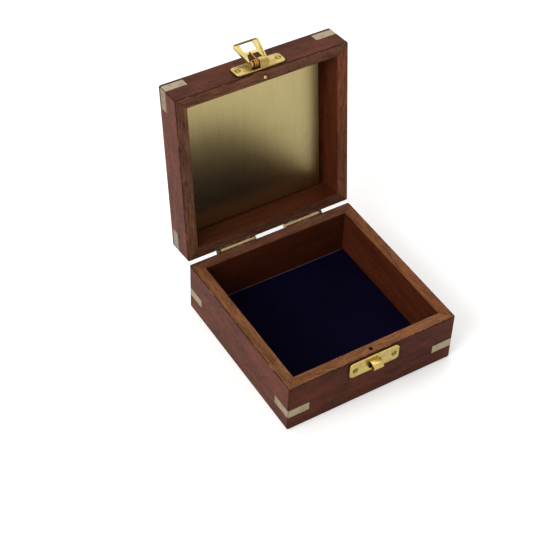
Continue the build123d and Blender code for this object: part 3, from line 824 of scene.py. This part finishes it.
def round_screws(tree, spot, depth):
    """Painted shade in rings round the two screws, whose middles lie at this depth."""
    across = calc(tree, "SUBTRACT", spot["Side"], SCREW_OUT)
    down = calc(tree, "SUBTRACT", spot["Depth"], depth)
    across_squared = calc(tree, "MULTIPLY", across, across)
    down_squared = calc(tree, "MULTIPLY", down, down)
    from_screw = calc(tree, "SQRT", calc(tree, "ADD", across_squared, down_squared))
    return step(tree, apart(tree, from_screw, SCREW_HEAD), *RING_FADE)


def in_mitre(tree, spot):
    """A line along the corner of a strip."""
    return step(tree, apart(tree, spot["Side"], spot["End"]), *STRIP_MITRE_FADE)


def past_line(tree, spot, measure, fade_from, fade_to):
    """Everything past a line. The darkening rises from fade_from to fade_to, in mm."""
    return step(tree, spot[measure], fade_from, fade_to)


HINGE_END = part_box("base_hinge_leaf_right")[1].x / MM
# A painted dark reflection on the far bar of the hasp.
HASP_FAR_BAR = (past_line, "Depth", 18.5, 19.2)
# The hinges darker towards their outer tips.
HINGE_TIPS = (past_line, "Side", HINGE_END - 2.4, HINGE_END - 1.4)
print("hinges reach, in mm from the middle:", round(HINGE_END, 2))

# %% [markdown]
# ## Brass finishes
#
# The strips let into the corners are sanded flush with the wood, so they are pale and matt. The
# catch and the hasp are stamped and tumbled, so they are bright, with painted shade round the
# screw heads in the countersinks.
# The hinges are darker. The plate in the lid is brushed in one direction, up and down, and that
# spreads its reflections sideways: the shader's own anisotropy does this better than any bump.

# %% What a brass material is made of
SCRATCH_DEPTH = 0.03 * MM
WIRE_SCRATCH_DEPTH = 0.02 * MM
BRUSH_DEPTH = 0.006 * MM


def finish_of(amount, stretch, shine, dull):
    """How far a brass is tarnished, how its scratches run, and its least and most roughness."""
    return {"Tarnish Amount": amount, "Scratch Stretch": stretch, "Shine": shine, "Dull": dull}


def brass(name, place, metal, tarnish, finish, dirt_and_shade=None, scratch_depth=SCRATCH_DEPTH):
    """A worn brass. dirt_and_shade is one of the rules for the dark mask, followed by its numbers.
    """
    material, tree, shader = new_material(name)
    spot = use_group(tree, place_group, place)
    values = {"Place": spot["Place"], "Metal": colour(metal), "Tarnish": colour(tarnish)}
    if dirt_and_shade is not None:
        rule, *numbers = dirt_and_shade
        values["Dirt And Shade"] = calc(tree, "MULTIPLY", rule(tree, spot, *numbers), DIRT_AND_SHADE_COVER)
    made = use_group(tree, brass_group, {**values, **finish})
    plug(tree, shader, {"Base Color": made["Color"], "Roughness": made["Roughness"]})
    plug(tree, shader, {"Metallic": 1.0})
    bump(tree, shader, made["Bump"], distance=scratch_depth, strength=0.5)
    return material


TUMBLED = finish_of(0.45, (1.6, 1.6, 1.6), 0.2, 0.34)
SANDED = finish_of(0.5, (0.8, 4.0, 4.0), 0.36, 0.55)
BRUSHED = finish_of(0.1, (6.0, 0.03, 0.03), 0.26, 0.31)
ROLLED = finish_of(0.4, (0.4, 2.5, 2.5), 0.24, 0.4)
DRAWN = finish_of(0.5, (3, 3, 3), 0.25, 0.4)
print("roughness of the brushed plate:", BRUSHED["Shine"], "to", BRUSHED["Dull"])

# %% Brass materials
# Painted shade in rings round the screw heads, and dirt in the strips' mitres.
CATCH_SCREWS = (round_screws, CATCH_MIDDLE)
HASP_SCREWS = (round_screws, HASP_PLATE_MIDDLE)
MITRE = (in_mitre,)

catch_brass = brass("catch_brass", BASE_PLACE, "c8b068", "9c8440", TUMBLED, CATCH_SCREWS)
hasp_plate_brass = brass("hasp_plate_brass", LID_PLACE, "a89254", "886c34", TUMBLED, HASP_SCREWS)
hasp_brass = brass("hasp_brass", LID_PLACE, "b5a468", "94803f", TUMBLED, HASP_FAR_BAR)
pin_brass = brass("pin_brass", LID_PLACE, "b98a4a", "7a5226", TUMBLED)
base_inlay_brass = brass("base_inlay_brass", BASE_PLACE, "aa9b7e", "897a58", SANDED, MITRE)
lid_inlay_brass = brass("lid_inlay_brass", LID_PLACE, "938570", "786a50", SANDED, MITRE)
base_screw_brass = brass("base_screw_brass", BASE_PLACE, "a8924a", "5a4520", TUMBLED, CATCH_SCREWS)
lid_screw_brass = brass("lid_screw_brass", LID_PLACE, "a8924a", "5a4520", TUMBLED, HASP_SCREWS)
hinge_brass = brass("hinge_brass", BASE_PLACE, "a8926a", "6a5432", ROLLED, HINGE_TIPS)
spring_bronze = brass(
    "spring_bronze", LID_PLACE, "a8743e", "5e3c1c", DRAWN, scratch_depth=WIRE_SCRATCH_DEPTH
)
plate_brass = brass(
    "plate_brass", LID_PLACE, "bcad7a", "a5925c", BRUSHED, scratch_depth=BRUSH_DEPTH
)
print("nodes in the catch's brass:", len(catch_brass.node_tree.nodes))

# %% Brush lines on the lid's plate


def brush_along_lid(material):
    """Spreads the reflections across brush lines that run up the lid."""
    tree = material.node_tree
    up_the_lid = node(tree, "Tangent", direction_type="RADIAL", axis="X").outputs[0]
    brushed_look = {"Tangent": up_the_lid, "Anisotropic": 0.6, "Anisotropic Rotation": 0.25}
    plug(tree, tree.nodes["Principled BSDF"], brushed_look)


brush_along_lid(plate_brass)
print("brushed plate nodes:", len(plate_brass.node_tree.nodes))

# %% [markdown]
# ## Brass on its pieces
#
# Most brass pieces are solids that the frame already holds, with edges too small to matter, so
# they only need their material. Their names say what they are and which half they sit on. The
# strips and the screws of the two halves are measured from their own rims, so each half has
# its own material.

# %% Dress the brass pieces
brass_pieces = {
    "lid_brass_plate": plate_brass,
    "hasp_pin": pin_brass,
    "hasp_spring": spring_bronze,
    "locating_pin": hasp_brass,
}
for name in frame["nodes"]:
    on_lid = name.startswith(("lid", "hasp"))
    if "inlay" in name:
        brass_pieces[name] = lid_inlay_brass if on_lid else base_inlay_brass
    elif "screws" in name:
        brass_pieces[name] = lid_screw_brass if on_lid else base_screw_brass
    elif "hinge" in name:
        brass_pieces[name] = hinge_brass
for name, material in brass_pieces.items():
    dress(name, material)
print("brass pieces dressed:", len(brass_pieces))

# %% [markdown]
# ## The stamped latch pieces
#
# The catch, the hasp and its plate are pressed from sheet and tumbled, and that takes the
# sharpness off every edge. A knife-sharp edge catches no light, and a soft one shows as a thin
# bright line, which is most of what makes small metal parts look real. So each piece is rebuilt
# from a copy of its solid: its doubled points are merged, the flat facets are joined, and a
# narrow bevel rounds the edges.

# %% Soft-edged copies of the stamped pieces
EDGE_SOFTNESS = 0.14 * MM
DOUBLED = 0.001 * MM
FLAT_WITHIN = radians(0.5)
SHARP_PAST = radians(35)


def soften(name, material, body):
    """A copy of a CAD piece with rounded edges, in place of the piece."""
    shape = bmesh.new()
    shape.from_mesh(frame["nodes"][name].data)
    bmesh.ops.remove_doubles(shape, verts=shape.verts, dist=DOUBLED)
    bmesh.ops.dissolve_limit(
        shape,
        angle_limit=FLAT_WITHIN,
        use_dissolve_boundaries=False,
        verts=shape.verts,
        edges=shape.edges,
        delimit=set(),
    )
    bmesh.ops.recalc_face_normals(shape, faces=shape.faces)
    mesh = bpy.data.meshes.new(f"{name}_soft")
    shape.to_mesh(mesh)
    shape.free()
    mesh.materials.append(material)
    mesh.polygons.foreach_set("use_smooth", [True] * len(mesh.polygons))
    piece = add_to_scene(f"{name}_soft", mesh)
    rounding = piece.modifiers.new("soft_edges", "BEVEL")
    rounding.width = EDGE_SOFTNESS
    rounding.segments = 2
    rounding.limit_method = "ANGLE"
    rounding.angle_limit = SHARP_PAST
    rounding.harden_normals = True
    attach(piece, body)
    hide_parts(name)
    print(name, "faces before the bevel:", len(mesh.polygons))


soften("catch_plate", catch_brass, "base")
soften("hasp_plate", hasp_plate_brass, "lid")
soften("hasp", hasp_brass, "hasp")

# %% [markdown]
# ## The velvet pad
#
# The floor of the box is a thin board covered in dark blue velvet. The cloth is glued on top and
# turned down over the board's edges, so the pad is flat in the middle, rolls over softly at the
# sides and has rounded corners. It is too thin and too firmly held for cloth simulation to add
# anything, so a dense sheet is shaped point by point and then given its thickness.

# %% Where each point of the pad lies
pad_low, pad_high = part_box("velvet_lining")
PAD_HALF = pad_high.x
ROLL = 1.1 * MM
PAD_CORNER = 2.0 * MM
CROWN = 0.18 * MM
CROWN_FLATNESS = 4
NAP = 0.04 * MM
NAP_PATCH = 9 * MM
EDGE_CROWDING = 1.7


def pad_point(point):
    """Where a point of the flat sheet lies on the finished pad. Points crowd at the edges."""
    flat = [value / PAD_HALF for value in point[:2]]
    reach = [(1 - (1 - abs(value)) ** EDGE_CROWDING) * PAD_HALF for value in flat]
    over_x, over_y = [value - (PAD_HALF - PAD_CORNER) for value in reach]
    to_edge = PAD_HALF - max(reach)
    if over_x > 0 and over_y > 0:
        ratio = max(over_x, over_y) / Vector((over_x, over_y)).length
        reach = [value - over * (1 - ratio) for value, over in zip(reach, (over_x, over_y))]
        to_edge = PAD_CORNER - max(over_x, over_y)
    x, y = [copysign(value, side) for value, side in zip(reach, flat)]
    short_of_roll = ROLL - min(max(to_edge, 0), ROLL)
    drop = ROLL - (ROLL**2 - short_of_roll**2) ** 0.5
    crown = CROWN * (1 - max(abs(flat[0]), abs(flat[1])) ** CROWN_FLATNESS)
    unevenness = NAP * noise_at(Vector((x, y, 0)) / NAP_PATCH)
    return Vector((x, y, pad_high.z - CROWN + crown - drop + unevenness))


print("pad is", round(2 * PAD_HALF / MM, 1), "mm wide")

# %% Velvet pad
PAD_STEPS = 72
CLOTH = 0.42 * MM
SKIRT_GAP = 0.1 * MM

sheet = bmesh.new()
bmesh.ops.create_grid(
    sheet,
    x_segments=PAD_STEPS,
    y_segments=PAD_STEPS,
    size=PAD_HALF,
    matrix=Matrix(),
    calc_uvs=False,
)
for point in sheet.verts:
    point.co = pad_point(point.co)
border = [edge for edge in sheet.edges if edge.is_boundary]
skirt = bmesh.ops.extrude_edge_only(sheet, edges=border, use_normal_flip=False)
for point in skirt["geom"]:
    if isinstance(point, bmesh.types.BMVert):
        point.co.z = pad_low.z + SKIRT_GAP
bmesh.ops.recalc_face_normals(sheet, faces=sheet.faces)
top_face = max(sheet.faces, key=lambda face: face.calc_area())
if top_face.normal.z < 0:
    bmesh.ops.reverse_faces(sheet, faces=sheet.faces, flip_multires=False)
pad_mesh = bpy.data.meshes.new("velvet_pad")
sheet.to_mesh(pad_mesh)
sheet.free()
pad_mesh.polygons.foreach_set("use_smooth", [True] * len(pad_mesh.polygons))
velvet_pad = add_to_scene("velvet_pad", pad_mesh)
cloth = velvet_pad.modifiers.new("cloth_thickness", "SOLIDIFY")
cloth.thickness = CLOTH
cloth.offset = -1
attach(velvet_pad, "base")
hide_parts("velvet_lining")
print("pad points:", len(pad_mesh.vertices))

# %% [markdown]
# ## Velvet
#
# Velvet is a forest of short upright fibres. Looked at from above it swallows light and is
# almost black, and it only lightens where the nap leans or where it is seen edge-on. Hair
# strands would show this best, but they would be far too many for so small a pad. The sheen
# of the shader gives the second effect, and a noise in the tone gives the first: patches
# where a hand has brushed the nap one way. Along the rear edge a thin, paler line is painted
# into the colour: a painted highlight where the edge of the cloth catches the light.

# %% Velvet material
# Where the painted highlight along the rear edge fades in, in mm from that edge.
EDGE_HIGHLIGHT_FROM = 0.9
EDGE_HIGHLIGHT_TO = 1.4
PILE_RELIEF = 0.08 * MM

velvet, tree, shader = new_material("velvet")
in_mm = in_millimetres(tree, object_place(tree))
brushed = streaks(tree, in_mm, (0.05, 0.03, 0.1), detail=3.0)
fibres = noise(tree, in_mm, scale=5.0, detail=2.0, roughness=0.6)
lean = step(tree, brushed, 0.35, 0.65)
nap_colour = mix(tree, lean, colour("070416"), colour("0b071d"))
pile = toned(tree, nap_colour, spread(tree, fibres, 0.6, 1.4))
rearward = node(tree, "SeparateXYZ", {0: in_mm}).outputs[1]
to_rear = calc(tree, "SUBTRACT", PAD_HALF / MM, rearward)
# A painted highlight: a thin, paler line along the rear edge of the cloth.
painted_edge_highlight = step(tree, to_rear, EDGE_HIGHLIGHT_TO, EDGE_HIGHLIGHT_FROM)
painted_edge_highlight = calc(tree, "MULTIPLY", painted_edge_highlight, spread(tree, brushed, 0.6, 1.2))
velvet_values = {
    "Base Color": mix(tree, painted_edge_highlight, pile, colour("66525a")),
    "Roughness": spread(tree, lean, 0.85, 0.95),
    "Specular IOR Level": 0.02,
    "Sheen Weight": 0.04,
    "Sheen Roughness": 0.4,
    "Sheen Tint": colour("5a5aa0"),
}
plug(tree, shader, velvet_values)
bump(tree, shader, fibres, distance=PILE_RELIEF, strength=0.5)
pad_mesh.materials.append(velvet)
dress("velvet_lining", velvet)
print("velvet nodes:", len(tree.nodes))
